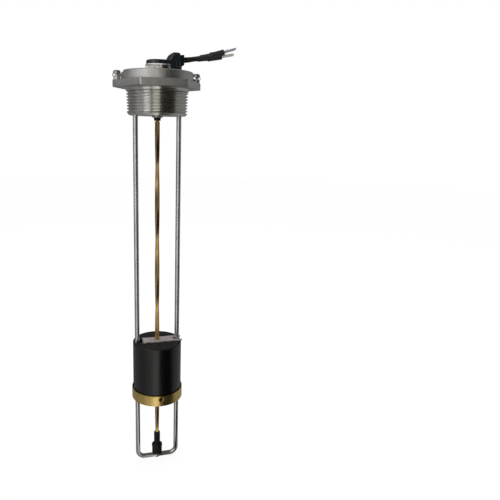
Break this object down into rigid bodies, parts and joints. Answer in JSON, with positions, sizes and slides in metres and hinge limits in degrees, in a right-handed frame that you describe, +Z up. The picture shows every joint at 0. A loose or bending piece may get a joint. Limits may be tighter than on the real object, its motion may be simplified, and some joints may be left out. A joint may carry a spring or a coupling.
{
  "type": "magnetic level gauge",
  "caption": "Top-mounted float gauge: hexagonal threaded head with a round dial and clip-on sender, a U-shaped guide rod, and a float that turns a twisted square bar.",
  "frame": {"origin": "on the axis of the gauge, at the underside of the hexagon, where the pipe thread begins", "axes": "+Z up along the axis from the float to the dial, +X towards the side that the two leads leave from"},
  "size_m": [0.0959, 0.0604, 0.357],
  "materials": {
    "cast_grey": "matte sand-cast grey, machined bright on the thread",
    "rod_steel": "satin drawn stainless steel",
    "collar_steel": "turned, satin",
    "bearing_black": "matte moulded plastic",
    "dial_white": "matte, off-white",
    "seal_red": "soft, dark red",
    "lens_clear": "clear moulded plastic, glossy",
    "screw_zinc": "bright zinc plate",
    "module_teal": "glossy moulded plastic, very dark blue green",
    "block_black": "matte moulded plastic",
    "board_green": "circuit board with solder mask",
    "wire_black": "glossy insulation",
    "sleeve_black": "matte heat-shrink sleeve",
    "terminal_tin": "tin-plated brass sheet",
    "bar_brass": "drawn brass, slightly tarnished",
    "magnet_grey": "pressed magnet, dull",
    "pointer_red": "matte, red",
    "float_black": "satin, black",
    "plate_steel": "dull sheet, rough"
  },
  "bodies": {
    "gauge": {"head_casting": "cast_grey", "guide_rod": "rod_steel", "upper_collar": "collar_steel", "upper_bush": "bearing_black", "foot_bearing": "bearing_black", "dial_base": "dial_white", "dial_face": "dial_white", "dial_seal": "seal_red", "dial_lens": "lens_clear", "pointer_pivot": "rod_steel", "dial_screw_far": "screw_zinc", "dial_screw_lead": "screw_zinc", "lock_washer_far": "screw_zinc", "lock_washer_lead": "screw_zinc", "module_cover": "module_teal", "lead_block": "block_black", "sensor_board": "board_green", "sensor_chip": "block_black", "wire_upper": "wire_black", "wire_lower": "wire_black", "shrink_upper": "sleeve_black", "shrink_lower": "sleeve_black", "terminal_upper": "terminal_tin", "terminal_lower": "terminal_tin"},
    "bar": {"spiral_bar": "bar_brass", "magnet_carrier": "bearing_black", "drive_magnet": "magnet_grey", "lower_sleeve": "bearing_black"},
    "dial_pointer": {"pointer": "pointer_red", "pointer_magnet": "magnet_grey"},
    "float": {"float_body": "float_black", "drive_plate": "plate_steel", "float_ring": "bar_brass", "ring_pin": "rod_steel"}
  },
  "joints": [
    {"name": "float_slide", "type": "slide", "parent": "gauge", "child": "float", "axis": [0, 0, 1], "range_m": [-0.0493, 0.184]},
    {"name": "bar_spin", "type": "hinge", "parent": "gauge", "child": "bar", "pos_m": [0, 0, 0], "axis": [0, 0, 1], "range_deg": [-279.3, 75.2]},
    {"name": "pointer_spin", "type": "hinge", "parent": "gauge", "child": "dial_pointer", "pos_m": [0, 0, 0], "axis": [0, 0, 1], "range_deg": [-279.3, 75.2]}
  ],
  "couplings": [
    {"joint": "bar_spin", "follows": "float_slide", "rad_per_m": -26.444},
    {"joint": "pointer_spin", "follows": "float_slide", "rad_per_m": -26.444}
  ]
}
